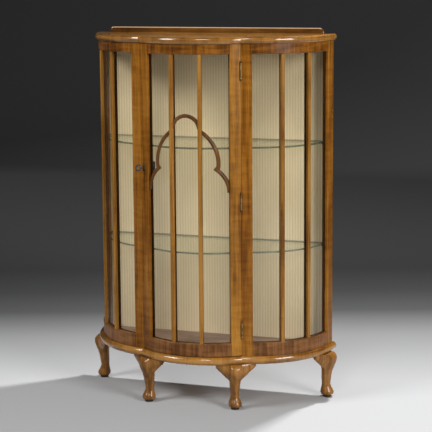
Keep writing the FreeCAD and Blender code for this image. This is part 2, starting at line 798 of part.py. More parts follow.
def hinge_leaf(level, side, low):
    """A leaf with its share of the knuckles: the frame has the outer ones, the door the one between."""
    label = f"{level}_hinge_{side}_leaf"
    step = f"dims.hinge_length / {KNUCKLES}"
    others = range(1, KNUCKLES, 2) if side == "frame" else range(0, KNUCKLES, 2)
    blank = fuse(f"{label}_blank", (
        leaf_plate(f"{label}_plate", side, low, "0"),
        knuckle_rod(f"{label}_barrel", "dims.knuckle_diameter / 2", low, "dims.hinge_length")))
    tools = [knuckle_rod(f"{label}_bore", "dims.hinge_pin_diameter / 2 + dims.hinge_pin_play", low,
                         "dims.hinge_length")]
    for index in others:
        tools.append(knuckle_rod(f"{label}_gap{index}", "dims.knuckle_diameter / 2 + dims.knuckle_play",
                                 f"{low} + {index} * {step} - dims.knuckle_play",
                                 f"{step} + 2 * dims.knuckle_play"))
    return keep(cut(label, blank, *tools), label)


def hinge_pin(level, low):
    """A pin with a turned finial at each end."""
    label = f"{level}_hinge_pin"
    body = new_body(label, *HINGE_AXIS, low)
    shank = "dims.hinge_pin_diameter / 2"
    full = "dims.finial_diameter / 2"
    neck = f"{full} - dims.finial_taper"
    above = [
        (shank, "dims.hinge_length + dims.hinge_pin_play"),
        (neck, "dims.hinge_length + dims.hinge_pin_play"),
        (full, "dims.hinge_length + dims.hinge_pin_play + dims.finial_taper"),
        (full, "dims.hinge_length + dims.hinge_pin_play + dims.finial_height - dims.finial_taper"),
        (neck, "dims.hinge_length + dims.hinge_pin_play + dims.finial_height"),
        ("0", "dims.hinge_length + dims.hinge_pin_play + dims.finial_height"),
    ]
    below = [(radius, f"dims.hinge_length - ({height})") for radius, height in reversed(above)]
    revolve(body, draw_outline(new_sketch(body, "XZ_Plane"), below + above), "360")
    return keep(body, label)


for hinge_level, hinge_low in HINGE_LOWS.items():
    hinge_leaf(hinge_level, "frame", hinge_low)
    hinge_leaf(hinge_level, "door", hinge_low)
    hinge_pin(hinge_level, hinge_low)

fixed_stile = joint_stile("front_stile_blank", SIDE, "dims.side_radius", "plan.side_start",
                          "plan.side_lip_front", "plan.floor_z", "plan.ceiling_z")
drilled_stile = cut("front_stile_drilled", fixed_stile, *peg_holes("front", FRONT_PEG_ANGLE))
keep(cut("right_front_stile", drilled_stile, *mortises("frame")), "right_front_stile")
left_stile = mirror(drilled_stile, "left_front_stile")
hinge_stile = joint_stile("hinge_stile_blank", DOOR, "dims.door_radius", "dims.door_half_angle",
                          "plan.door_lip", "plan.door_low", "plan.door_high")
keep(cut("door_hinge_stile", hinge_stile, *mortises("door")), "door_hinge_stile")


# Lock, key and keeper at the left-hand door joint.
# In the lock's own frame +X points out of the door, +Y to the hinges and -Y to the keeper.

def lock_body(name):
    return new_body(name, *DOOR, "plan.lock_z", "plan.lock_angle - 90")


def lock_box(name, inner, outer, first, last, low, high):
    """A block in the lock's frame, by depth, along the bolt and by height."""
    body = lock_body(name)
    corners = [(inner, first), (outer, first), (outer, last), (inner, last)]
    pad(body, draw_outline(new_sketch(body, "XY_Plane", low), corners), f"({high}) - ({low})")
    return body


def lock_rod(name, inner, outer, radius):
    return radial_rod(name, DOOR, inner, outer, "plan.lock_angle", "plan.lock_z", radius)


CASE_FACE = "plan.lock_seat"
CASE_BACK = f"{CASE_FACE} - dims.lock_case_depth"
CASE_HALF = "dims.lock_case_width / 2"
BOLT_OUTER = f"{CASE_FACE} - dims.lock_wall - dims.bolt_play"
BOLT_INNER = f"{BOLT_OUTER} - dims.bolt_thickness"
BOLT_TOP = "dims.bolt_rise + dims.bolt_height"
BIT_OUTER = f"{BOLT_INNER} - dims.bolt_play"
ESCUTCHEON_SHARE = "0.74"


def key_hole(name, inner, outer):
    """A round hole with a slot below it for the key's bit."""
    slot = "dims.key_bit_thickness / 2 + dims.key_hole_play"
    return fuse(name, (
        lock_rod(f"{name}_round", inner, outer, "plan.key_hole_radius"),
        lock_box(f"{name}_slot", inner, outer, f"-({slot})", slot,
                 "-dims.key_bit_drop - dims.key_hole_play", "0")))


def bolt_slot(name, first, last, play):
    """Room for the bolt, with play all round it."""
    return lock_box(name, f"{BOLT_INNER} - {play}", f"{BOLT_OUTER} + {play}", first, last,
                    f"dims.bolt_rise - {play}", f"{BOLT_TOP} + {play}")


def lock_case():
    """A folded steel box, open where the bolt leaves it and where the key enters."""
    wall = "dims.lock_wall"
    half_height = "dims.lock_case_height / 2"
    shell = lock_box("lock_case_shell", CASE_BACK, CASE_FACE, f"-{CASE_HALF}", CASE_HALF,
                     f"-{half_height}", half_height)
    hollow = lock_box("lock_case_hollow", f"{CASE_BACK} + {wall}", f"{CASE_FACE} - {wall}",
                      f"{wall} - {CASE_HALF}", f"{CASE_HALF} - {wall}",
                      f"{wall} - {half_height}", f"{half_height} - {wall}")
    mouth = bolt_slot("lock_case_mouth", f"-{CASE_HALF}", "0", "dims.bolt_play")
    entry = key_hole("lock_case_key_hole", f"{CASE_FACE} - {wall}", CASE_FACE)
    return keep(cut("lock_case", shell, hollow, mouth, entry), "lock_case")


def lock_key():
    """A key with a ring bow, standing in the lock with its bit hanging down."""
    shaft_radius = "dims.key_shaft_diameter / 2"
    bow_start = "dims.door_radius + dims.key_stand_off"
    bow_centre = f"{bow_start} + dims.key_bow_width / 2"
    bow = lock_body("key_bow")
    sketch = new_sketch(bow, "XZ_Plane", "-dims.key_bow_thickness / 2")
    draw_circle(sketch, bow_centre, "0", "dims.key_bow_width / 2")
    draw_circle(sketch, bow_centre, "0", "dims.key_bow_hole / 2")
    pad(bow, sketch, "dims.key_bow_thickness")
    shaft = lock_rod("key_shaft", f"{BIT_OUTER} - dims.key_bit_length", f"{bow_start} + dims.key_bow_sink",
                     shaft_radius)
    collar = lock_rod("key_collar", f"{bow_start} - dims.key_collar_length", bow_start,
                      "dims.key_collar_diameter / 2")
    bit = lock_box("key_bit", f"{BIT_OUTER} - dims.key_bit_length", BIT_OUTER,
                   "-dims.key_bit_thickness / 2", "dims.key_bit_thickness / 2", "-dims.key_bit_drop", "0")
    return keep(fuse("lock_key", (bow, shaft, collar, bit)), "lock_key")


def escutcheon():
    """An oval plate round the keyhole on the front of the door."""
    body = lock_body("escutcheon_plate")
    seat = "dims.door_radius + dims.seat_play"
    oval = cushion("0", "dims.escutcheon_width / 2", "dims.escutcheon_height / 2", ESCUTCHEON_SHARE)
    pad(body, draw_outline(new_sketch(body, "YZ_Plane", seat), oval), "dims.escutcheon_thickness")
    hole = key_hole("escutcheon_key_hole", seat, f"{seat} + dims.escutcheon_thickness")
    return keep(cut("keyhole_escutcheon", body, hole), "keyhole_escutcheon")


def lock_keeper():
    """A block behind the left front stile with a slot that takes the thrown bolt."""
    start = f"-{CASE_HALF} - 2 * dims.lock_edge_gap - dims.door_side_gap"
    play = "dims.keeper_play"
    slot_end = f"-{CASE_HALF} - dims.bolt_throw - {play}"
    margin = f"({play} + dims.keeper_wall)"
    block = lock_box("keeper_block", f"{BOLT_INNER} - {margin}", "dims.door_radius - dims.lip_depth",
                     f"{slot_end} - dims.keeper_wall", start, f"dims.bolt_rise - {margin}",
                     f"{BOLT_TOP} + {margin}")
    slot = bolt_slot("keeper_slot", slot_end, start, play)
    return keep(cut("lock_keeper", block, left_stile, slot), "lock_keeper")


lock_stile = joint_stile("lock_stile_blank", DOOR, "dims.door_radius", "-dims.door_half_angle",
                         "-plan.door_lip", "plan.door_low", "plan.door_high")
stile_key_hole = key_hole("stile_key_hole", CASE_FACE, "dims.door_radius + dims.lip_depth")
keep(cut("door_lock_stile", lock_stile, stile_key_hole), "door_lock_stile")
lock_case()
keep(lock_box("lock_bolt", BOLT_INNER, BOLT_OUTER, f"-{CASE_HALF}", f"dims.bolt_length - {CASE_HALF}",
              "dims.bolt_rise", BOLT_TOP), "lock_bolt")
lock_key()
escutcheon()
lock_keeper()


def door_stops():
    """Two blocks, under the top and on the base, that the closed door rests against."""
    outer = "dims.door_radius - dims.frame_thickness - dims.stop_gap"
    start = f"{arc_degrees('dims.stop_inset', outer)} - dims.door_half_angle"
    end = f"{arc_degrees('dims.stop_inset + dims.stop_width', outer)} - dims.door_half_angle"
    inner = f"{outer} - dims.stop_depth"
    blocks = [
        arc_block("stop_low", DOOR, inner, outer, start, end, "plan.floor_z",
                  "plan.floor_z + dims.stop_height"),
        arc_block("stop_high", DOOR, inner, outer, start, end, "plan.ceiling_z - dims.stop_height",
                  "plan.ceiling_z"),
    ]
    return keep(group("door_stops", blocks), "door_stops")


door_stops()


# Arched tracery on the front of the door glass

def arch_band(body, x, z, radius, start, end, reach):
    """A band around a centre on the front of the door, padded forwards through its face."""
    half = "dims.tracery_width / 2"
    inner, outer = f"({radius} - {half})", f"({radius} + {half})"

    def spot(distance, angle):
        return (f"{x} + {distance} * cos(({angle}) * 1 deg)", f"{z} + {distance} * sin(({angle}) * 1 deg)")

    corners = [
        (*spot(outer, start), outer, "left"),
        spot(outer, end),
        (*spot(inner, end), inner, "right"),
        spot(inner, start),
    ]
    pad(body, draw_outline(new_sketch(body, "XZ_Plane"), corners), reach)


def tracery():
    """A crown between the bars, and a shoulder with a flared foot between each bar and stile."""
    radius = "dims.door_radius"
    back = f"{radius} - dims.lip_depth"
    front = f"{back} + dims.tracery_depth"
    bar = f"plan.door_lip / {PANES}"
    half_bar = arc_degrees("dims.bar_width / 2", radius)

    crown_blank = new_body("crown_blank", *DOOR, "plan.floor_z")
    arch_band(crown_blank, "0", "dims.crown_height", "dims.crown_radius", "dims.crown_overrun_angle",
              "180 - dims.crown_overrun_angle", radius)
    crown_field = arc_block("crown_field", DOOR, back, front, f"{half_bar} - {bar}", f"{bar} - {half_bar}",
                            "plan.sight_low", "plan.sight_high")
    crown = common("tracery_crown", crown_blank, crown_field)

    lip_x = f"({radius} - dims.lip_depth) * sin(plan.door_lip * 1 deg)"
    flare_x = f"({lip_x} - dims.flare_radius)"
    wing_blank = new_body("wing_blank", *DOOR, "plan.floor_z")
    arch_band(wing_blank, "-dims.shoulder_inset", "dims.shoulder_height", "dims.shoulder_radius",
              "dims.shoulder_low_angle", "dims.shoulder_high_angle", radius)
    arch_band(wing_blank, flare_x, "dims.flare_height", "dims.flare_radius", "0", "dims.flare_angle", radius)
    wing_field = arc_block("wing_field", DOOR, back, front, f"{bar} + {half_bar}", "plan.door_lip",
                           "plan.sight_low", "plan.sight_high")
    right_wing = common("tracery_right_wing", wing_blank, wing_field)
    left_wing = twin(right_wing, "tracery_left_wing")
    return keep(group("door_tracery", (crown, right_wing, left_wing)), "door_tracery")


tracery()


# Cabriole legs with separate knee ears

# Shares of a leg section's half sizes at which its corners lie, from round at the foot to squarer above
ROUND_SHARE = "sqrt(1 / 2)"
ANKLE_SHARE = "0.72"
CALF_SHARE = "0.77"
KNEE_SHARE = "0.82"
LEG_TOP_SHARE = "0.84"


def leg_section(body, z, back, front, half_width, share):
    """A cushion section of the leg, reaching back and front from the ankle's axis."""
    middle = f"(({front}) - ({back})) / 2"
    half_depth = f"(({front}) + ({back})) / 2"
    return draw_outline(new_sketch(body, "XY_Plane", z), cushion(middle, half_depth, half_width, share))


def foot_section(body, z, radius):
    """A round section of the foot, set forward of the ankle."""
    return leg_section(body, z, f"{radius} - dims.foot_forward", f"{radius} + dims.foot_forward", radius,
                       ROUND_SHARE)


def leg(label, centre, radius, angle, setback):
    """A cabriole leg that faces outwards, its ankle set back from the carcass face."""
    x, y = polar(f"{radius} - {setback}", angle)
    body = new_body(label, f"{centre[0]} + {x}", f"{centre[1]} + {y}", "0", f"{angle} - 90")
    ankle = "dims.ankle_radius"
    loft(body, [
        foot_section(body, "dims.foot_under_height", "dims.foot_under_radius"),
        foot_section(body, "dims.foot_height", "dims.foot_radius"),
        leg_section(body, "dims.shin_height", ankle, ankle, ankle, ROUND_SHARE),
        leg_section(body, "dims.ankle_height", ankle, ankle, ankle, ANKLE_SHARE),
        leg_section(body, "dims.calf_height", "dims.calf_back", "dims.calf_front", "dims.calf_half_width",
                    CALF_SHARE),
        leg_section(body, "dims.knee_height", "dims.knee_back", "dims.knee_front", "dims.leg_half_width",
                    KNEE_SHARE),
        leg_section(body, "dims.leg_height", "dims.leg_top_back", "dims.leg_top_front",
                    "dims.leg_half_width", LEG_TOP_SHARE),
    ])
    sole = draw_circle(new_sketch(body, "XY_Plane"), "dims.foot_forward", "0", "dims.foot_pad_radius")
    pad(body, sole, "dims.foot_under_height")
    return keep(body, label)


EAR_CURVE = "0.85"


def ear(name, leg_piece, side, reach, end_front):
    """A tapering bracket beside the knee, fitted to the leg; side is +1 or -1 along the leg's own Y."""
    body = doc.addObject("PartDesign::Body", name)
    body.setExpression("Placement", f"{leg_piece.Name}.Placement")
    top = "dims.leg_height"

    def section(offset, back, front, drop):
        sketch = new_sketch(body, "XZ_Plane", f"{-side} * ({offset})")
        low_x = f"(({back}) + ({front})) / 2"
        corners = [
            (back, top),
            (low_x, f"{top} - ({drop})", f"{EAR_CURVE} * ({drop})", "left"),
            (front, top),
        ]
        return draw_outline(sketch, corners)

    loft(body, [
        section("dims.ear_start", "-dims.ear_back", "dims.ear_front", "dims.ear_drop"),
        section(reach, f"{end_front} - dims.ear_end_depth", end_front, "dims.ear_end_drop"),
    ])
    return cut(f"{name}_fitted", body, leg_piece)


front_leg = leg("right_front_leg", DOOR, "dims.door_radius", "dims.front_leg_angle", "dims.front_leg_setback")
rear_leg = leg("right_rear_leg", SIDE, "dims.side_radius", "dims.rear_leg_angle", "dims.rear_leg_setback")
mirror(front_leg, "left_front_leg")
mirror(rear_leg, "left_rear_leg")
EAR_ENDS = ("dims.ear_reach", "dims.ear_end_front")
OUTER_EAR_ENDS = ("dims.outer_ear_reach", "dims.outer_ear_end_front")
front_ears = keep(group("right_front_leg_ears", [ear("front_ear_out", front_leg, 1, *OUTER_EAR_ENDS),
                                                 ear("front_ear_in", front_leg, -1, *EAR_ENDS)]),
                  "right_front_leg_ears")
mirror(front_ears, "left_front_leg_ears")
rear_ear = keep(ear("rear_ear", rear_leg, -1, *EAR_ENDS), "right_rear_leg_ear")
mirror(rear_ear, "left_rear_leg_ear")

doc.recompute()

# Checks, then one file for each sub-part

for thing in doc.Objects:
    if {"Invalid", "Error"} & set(thing.State):
        raise RuntimeError(f"{thing.Label} failed: {thing.State}")
for thing in sub_parts:
    if thing.Shape.isNull() or not thing.Shape.isValid() or not thing.Shape.Solids:
        raise RuntimeError(f"{thing.Label} has no valid solid")

os.makedirs("parts", exist_ok=True)
for thing in sub_parts:
    thing.Shape.exportStep(f"parts/{thing.Label}.step")
print(f"{len(sub_parts)} sub-parts written")
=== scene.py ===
"""The half-moon display cabinet dressed for its picture.

Metres, +Z up, front towards -Y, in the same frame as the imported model.  The script gives every wooden,
glass and metal piece its finish, adds the cloth lining, the stained floor, the moulded tracery and the
screws, and sets up the studio and the camera.
"""

import math

import bmesh
import bpy
from mathutils import Matrix, Vector, noise


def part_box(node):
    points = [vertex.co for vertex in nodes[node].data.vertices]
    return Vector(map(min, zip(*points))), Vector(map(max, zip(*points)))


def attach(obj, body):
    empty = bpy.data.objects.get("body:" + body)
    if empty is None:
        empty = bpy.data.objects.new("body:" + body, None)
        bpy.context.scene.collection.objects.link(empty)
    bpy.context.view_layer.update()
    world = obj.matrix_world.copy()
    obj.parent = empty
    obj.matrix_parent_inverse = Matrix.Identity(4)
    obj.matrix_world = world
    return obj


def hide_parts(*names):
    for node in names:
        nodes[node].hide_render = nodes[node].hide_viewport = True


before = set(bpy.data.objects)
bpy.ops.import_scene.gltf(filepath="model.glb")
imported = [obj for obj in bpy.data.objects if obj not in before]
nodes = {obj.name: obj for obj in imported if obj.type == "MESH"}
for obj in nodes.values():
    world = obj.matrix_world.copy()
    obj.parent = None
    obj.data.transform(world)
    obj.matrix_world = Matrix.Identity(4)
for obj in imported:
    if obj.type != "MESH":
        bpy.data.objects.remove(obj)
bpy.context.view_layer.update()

# The plan of the cabinet: centres of the door's arc and of the right side's arc, the valley between them,
# and the radius past which the bowed rim of the top and the base begins
DOOR_CENTRE = Vector((0.0, 0.11575))
SIDE_CENTRE = Vector((0.12193, 0.17758))
VALLEY = Vector((0.16398, -0.09115))
RIM_RADIUS = 0.264
# Heights of the inside floor, the lock and the middles of the hinges
FLOOR_Z = 0.170
LOCK_Z = 0.758
HINGE_LEVELS = (0.254, 0.660, 1.066)
# The slant of the joint at the hinges and the direction in which the lock faces
JOINT_TURN = math.radians(23.647)
LOCK_TURN = math.radians(-35.527)
# Where the door glass meets its stiles, the middle of a door bar, and half a bar's width
DOOR_LIP = math.radians(30.804)
BAR_TURN = DOOR_LIP / 3
HALF_BAR = math.radians(1.356)
# How far round to the right the camera stands
CAMERA_TURN = math.radians(18.204)


# Shader helpers

# A Mix node's sockets go by number, because those for vectors and those for colours share their names
SHARE, FIRST_VECTOR, SECOND_VECTOR, FIRST_COLOUR, SECOND_COLOUR = 0, 4, 5, 6, 7
MIXED_VECTOR, MIXED_COLOUR = 1, 2


def add(tree, kind, inputs=None, **settings):
    """Add a shader node; an input is a plain value or another node's output."""
    node = tree.nodes.new(kind)
    for name, value in settings.items():
        setattr(node, name, value)
    for name, value in (inputs or {}).items():
        if isinstance(value, bpy.types.NodeSocket):
            tree.links.new(value, node.inputs[name])
        else:
            node.inputs[name].default_value = value
    return node


def blank_finish(name, **sockets):
    """A new material with its constant shader values set on the shader's own sockets."""
    material = bpy.data.materials.new(name)
    material.use_nodes = True
    tree = material.node_tree
    shader = tree.nodes["Principled BSDF"]
    for socket, value in sockets.items():
        shader.inputs[socket.replace("_", " ")].default_value = value
    return material, tree, shader


def object_place(tree):
    """The place of a point in the piece's own coordinates."""
    return add(tree, "ShaderNodeTexCoord").outputs["Object"]


def place_axes(tree):
    """The same place as three separate outputs X, Y and Z."""
    return add(tree, "ShaderNodeSeparateXYZ", {"Vector": object_place(tree)}).outputs


def stretched(tree, vector, scale=(1.0, 1.0, 1.0), turn=(0.0, 0.0, 0.0)):
    """Coordinates scaled and turned, so that a pattern on them is drawn out or lies another way."""
    return add(tree, "ShaderNodeMapping", {"Vector": vector, "Scale": scale, "Rotation": turn}).outputs[0]


def cloud(tree, vector, scale, detail=4.0, roughness=0.5, distortion=0.0):
    """A noise pattern between 0 and 1."""
    return add(tree, "ShaderNodeTexNoise", {
        "Vector": vector, "Scale": scale, "Detail": detail, "Roughness": roughness,
        "Distortion": distortion}).outputs["Fac"]


def sums(tree, operation, *terms):
    """One step of arithmetic on plain values and other nodes' outputs."""
    return add(tree, "ShaderNodeMath", dict(enumerate(terms)), operation=operation).outputs[0]


def straight_line(tree, across, along):
    """The straight distance over two lengths at a right angle."""
    squares = sums(tree, "ADD", sums(tree, "MULTIPLY", across, across), sums(tree, "MULTIPLY", along, along))
    return sums(tree, "SQRT", squares)


def spread(tree, value, low, high, to_low=0.0, to_high=1.0):
    """Stretch a range of values to another range and clip what lies outside it."""
    return add(tree, "ShaderNodeMapRange", {
        "Value": value, "From Min": low, "From Max": high, "To Min": to_low,
        "To Max": to_high}).outputs[0]


def wave(tree, curve, phase):
    """A sine or cosine of the phase, between 0 and 1."""
    return spread(tree, sums(tree, curve, phase), -1.0, 1.0)


def shades(tree, value, *stops):
    """A colour ramp from (position, colour) stops."""
    ramp = add(tree, "ShaderNodeValToRGB", {"Fac": value})
    band = ramp.color_ramp.elements
    while len(band) < len(stops):
        band.new(1.0)
    for element, (position, colour) in zip(band, stops):
        element.position = position
        element.color = (*colour, 1.0)
    return ramp.outputs["Color"]


def blended(tree, share, ground, colour):
    """A pattern of colours with a plain colour mixed in by a share."""
    return add(tree, "ShaderNodeMix", {
        SHARE: share, FIRST_COLOUR: ground, SECOND_COLOUR: (*colour, 1.0)},
        data_type="RGBA").outputs[MIXED_COLOUR]


def roughened(tree, shader, height, strength, distance):
    """Give the shader a bump from a pattern of heights."""
    bump = add(tree, "ShaderNodeBump", {"Height": height, "Strength": strength, "Distance": distance})
    tree.links.new(bump.outputs[0], shader.inputs["Normal"])


# Wood

def upright_grain(tree):
    """Grain that runs up the piece."""
    return object_place(tree)


def long_grain(tree):
    """Grain that runs from side to side."""
    return stretched(tree, object_place(tree), turn=(0.0, math.radians(90), 0.0))


def edge_grain(tree):
    """Grain from side to side on the board, and along the arc on its bowed rim."""
    x, y, z = place_axes(tree)
    side = sums(tree, "ABSOLUTE", x)
    beyond = sums(tree, "GREATER_THAN", side, VALLEY.x)
    centre_x = sums(tree, "MULTIPLY", beyond, SIDE_CENTRE.x)
    centre_y = sums(tree, "MULTIPLY_ADD", beyond, SIDE_CENTRE.y - DOOR_CENTRE.y, DOOR_CENTRE.y)
    across = sums(tree, "SUBTRACT", side, centre_x)
    ahead = sums(tree, "SUBTRACT", centre_y, y)
    radius = straight_line(tree, across, ahead)
    length = sums(tree, "MULTIPLY", sums(tree, "ARCTAN2", across, ahead), radius)
    bowed = add(tree, "ShaderNodeCombineXYZ", {"X": radius, "Y": z, "Z": length}).outputs[0]
    on_rim = sums(tree, "GREATER_THAN", radius, RIM_RADIUS)
    return add(tree, "ShaderNodeMix", {
        SHARE: on_rim, FIRST_VECTOR: long_grain(tree), SECOND_VECTOR: bowed},
        data_type="VECTOR").outputs[MIXED_VECTOR]


def pin_heads(tree, wood):
    """Small dark heads of pins in a row along all four edges of the back panel."""
    x, _, z = place_axes(tree)
    pitch, head, iron = 0.12, 0.0028, (0.045, 0.04, 0.036)
    sharp_part = head * 0.8
    half_span, half_rise, middle = 0.3725, 0.482, 0.66

    def from_row(across, half, along):
        """How far a point lies from the nearest pin of two rows at either side of the middle."""
        off = sums(tree, "SUBTRACT", sums(tree, "ABSOLUTE", across), half)
        step = sums(tree, "SUBTRACT", sums(tree, "FLOORED_MODULO", along, pitch), pitch / 2)
        return straight_line(tree, off, step)

    rise = sums(tree, "SUBTRACT", z, middle)
    nearest = sums(tree, "MINIMUM", from_row(x, half_span, rise), from_row(rise, half_rise, x))
    return blended(tree, spread(tree, nearest, sharp_part, head, 1.0, 0.0), wood, iron)


def painted_sole_shade(tree, wood):
    """Painted shade on the feet over about their lowest centimetre, where they meet the floor."""
    dark_below, unshaded_above, strength, sole_shade_colour = 0.005, 0.013, 0.9, (0.02, 0.012, 0.008)
    share = spread(tree, place_axes(tree)["Z"], dark_below, unshaded_above, strength, 0.0)
    return blended(tree, share, wood, sole_shade_colour)


def painted_gallery_highlight(tree, wood):
    """Painted highlight: a pale line along the front of the gallery rail's top edge, where the light catches
    it.
    """
    unlit_below, lit_above, strength = 1.1845, 1.1865, 0.8
    lit_before, unlit_behind = 0.1485, 0.151
    highlight_colour = (0.62, 0.45, 0.27)
    _, y, z = place_axes(tree)
    high = spread(tree, z, unlit_below, lit_above, 0.0, strength)
    ahead = spread(tree, y, lit_before, unlit_behind, 1.0, 0.0)
    return blended(tree, sums(tree, "MULTIPLY", high, ahead), wood, highlight_colour)


def walnut(name, deep, middle, pale, grain=upright_grain, ripple=0.25, roughness=(0.26, 0.4), coat=0.08,
           mark=None):
    """Polished walnut: dark pores and streaks along the grain, a cross ripple and slow changes of tone."""
    material, tree, shader = blank_finish(
        name, Coat_Weight=coat, Coat_Roughness=0.12, Specular_IOR_Level=0.12)
    along = grain(tree)
    streak = cloud(tree, stretched(tree, along, (1.0, 1.0, 0.05)),
                   scale=85.0, detail=6.0, roughness=0.62, distortion=0.6)
    pores = cloud(tree, stretched(tree, along, (1.0, 1.0, 0.03)), scale=620.0, detail=3.0, roughness=0.6)
    slow = cloud(tree, stretched(tree, along, (1.0, 1.0, 0.3)), scale=9.0, detail=3.0, distortion=0.8)
    figure = cloud(tree, stretched(tree, along, (0.3, 0.3, 1.6)),
                   scale=42.0, detail=3.0, roughness=0.55, distortion=0.5)
    slow_share, streak_share, mean_figure = 0.4, 0.6, 0.5
    tone = sums(tree, "MULTIPLY_ADD", slow, slow_share, sums(tree, "MULTIPLY", streak, streak_share))
    tone = sums(tree, "MULTIPLY_ADD", sums(tree, "SUBTRACT", figure, mean_figure), ripple, tone)
    wood = shades(tree, tone, (0.36, deep), (0.5, middle), (0.64, pale))
    pore_mask = spread(tree, pores, low=0.58, high=0.7, to_high=0.55)
    wood = blended(tree, pore_mask, wood, deep)
    tree.links.new(mark(tree, wood) if mark else wood, shader.inputs["Base Color"])
    rubbed = cloud(tree, along, scale=16.0, roughness=0.6)
    tree.links.new(spread(tree, rubbed, 0.35, 0.65, *roughness), shader.inputs["Roughness"])
    pore_sink = -0.6
    roughened(tree, shader, sums(tree, "MULTIPLY_ADD", pore_mask, pore_sink, streak),
              strength=0.16, distance=0.0004)
    return material


figured_walnut = walnut(
    "figured_walnut", (0.085, 0.027, 0.002), (0.20, 0.071, 0.006), (0.31, 0.126, 0.016))
# A lighter copy of the figured walnut for the hinge stile alone: painted light, for the light that falls on
# this right-facing stile
lit_hinge_stile_walnut = walnut(
    "lit_hinge_stile_walnut", (0.13, 0.045, 0.004), (0.275, 0.112, 0.012), (0.40, 0.18, 0.026))
bar_walnut = walnut(
    "bar_walnut", (0.12, 0.045, 0.006), (0.25, 0.108, 0.016), (0.36, 0.17, 0.034), ripple=0.1)
cross_banded = walnut(
    "cross_banded_walnut", (0.055, 0.016, 0.0011), (0.14, 0.046, 0.0032), (0.25, 0.093, 0.011),
    ripple=0.5, coat=0.6)
red_walnut = walnut(
    "red_walnut", (0.068, 0.024, 0.006), (0.142, 0.056, 0.016), (0.225, 0.096, 0.03), ripple=0.4)
edge_walnut = walnut(
    "edge_walnut", (0.10, 0.036, 0.005), (0.27, 0.117, 0.02), (0.42, 0.2, 0.045),
    grain=edge_grain, roughness=(0.16, 0.26), coat=1.0)
# Gallery walnut, with a painted highlight along the front of its top edge
gallery_walnut = walnut(
    "gallery_walnut", (0.04, 0.013, 0.0015), (0.09, 0.033, 0.004), (0.15, 0.06, 0.009),
    grain=long_grain, ripple=0.15, roughness=(0.18, 0.3), coat=0.5, mark=painted_gallery_highlight)
# Carved walnut for the legs, with painted shade on the feet near the floor
carved_walnut = walnut(
    "carved_walnut", (0.08, 0.03, 0.005), (0.22, 0.093, 0.019), (0.36, 0.165, 0.04),
    ripple=0.1, roughness=(0.24, 0.36), coat=0.4, mark=painted_sole_shade)
dark_fretwork = walnut(
    "dark_fretwork", (0.042, 0.015, 0.0035), (0.10, 0.04, 0.01), (0.17, 0.075, 0.021), ripple=0.1)
inner_beading = walnut(
    "inner_beading", (0.015, 0.006, 0.002), (0.035, 0.014, 0.004), (0.06, 0.025, 0.008),
    ripple=0.05, roughness=(0.4, 0.55), coat=0.0)
stained_floor = walnut(
    "stained_floor", (0.165, 0.10, 0.066), (0.27, 0.165, 0.107), (0.36, 0.23, 0.155),
    grain=long_grain, ripple=0.1, roughness=(0.42, 0.55), coat=0.0)
back_plywood = walnut(
    "back_plywood", (0.22, 0.12, 0.055), (0.36, 0.22, 0.11), (0.47, 0.31, 0.17),
    ripple=0.2, roughness=(0.6, 0.75), coat=0.0, mark=pin_heads)


# Glass, metal and cloth

def glass(name, tint, edge_tint=None):
    """Clear glass that mirrors more of the light at a slant; its cut edges may be tinted."""
    material, tree, shader = blank_finish(name)
    tree.nodes.remove(shader)
    smear = cloud(tree, object_place(tree), scale=7.0, detail=3.0, roughness=0.6)
    clear = add(tree, "ShaderNodeBsdfTransparent", {"Color": (*tint, 1.0)})
    shine = add(tree, "ShaderNodeBsdfAnisotropic", {
        "Color": (1.0, 1.0, 1.0, 1.0), "Roughness": spread(tree, smear, 0.4, 0.7, 0.015, 0.06)})
    facing = add(tree, "ShaderNodeLayerWeight", {"Blend": 0.5}).outputs["Facing"]
    head_on, more_at_slant, sharpness = 0.025, 0.7, 5.0
    mirrored = sums(tree, "MULTIPLY_ADD", sums(tree, "POWER", facing, sharpness), more_at_slant, head_on)
    shown = add(tree, "ShaderNodeMixShader", {
        0: mirrored, 1: clear.outputs[0], 2: shine.outputs[0]}).outputs[0]
    if edge_tint:
        normal = add(tree, "ShaderNodeNewGeometry").outputs["Normal"]
        rise = add(tree, "ShaderNodeSeparateXYZ", {"Vector": normal}).outputs["Z"]
        flattest_edge = 0.5
        at_edge = sums(tree, "LESS_THAN", sums(tree, "ABSOLUTE", rise), flattest_edge)
        dark, bright = edge_tint
        colour = shades(tree, cloud(tree, object_place(tree), scale=30.0), (0.3, dark), (0.7, bright))
        edge = add(tree, "ShaderNodeBsdfPrincipled", {"Base Color": colour, "Roughness": 0.12, "Alpha": 0.75})
        shown = add(tree, "ShaderNodeMixShader", {0: at_edge, 1: shown, 2: edge.outputs[0]}).outputs[0]
    tree.links.new(shown, tree.nodes["Material Output"].inputs["Surface"])
    return material


def metal(name, dark, bright, roughness, tarnish):
    """Metal with dark tarnish in clouds and fine rub marks."""
    material, tree, shader = blank_finish(name, Metallic=1.0)
    place = object_place(tree)
    age = cloud(tree, place, scale=140.0, detail=5.0, roughness=0.65)
    clean = tarnish + 0.25
    tree.links.new(shades(tree, age, (tarnish, dark), (clean, bright)), shader.inputs["Base Color"])
    tree.links.new(spread(tree, age, 0.3, 0.7, *roughness), shader.inputs["Roughness"])
    rubs = cloud(tree, stretched(tree, place, (1.0, 1.0, 0.1)), scale=900.0, detail=2.0)
    roughened(tree, shader, rubs, strength=0.12, distance=0.0002)
    return material


RIB_PITCH = 0.0092
CORDS_IN_RIB = 4.0
WEFT_PITCH = 0.0011


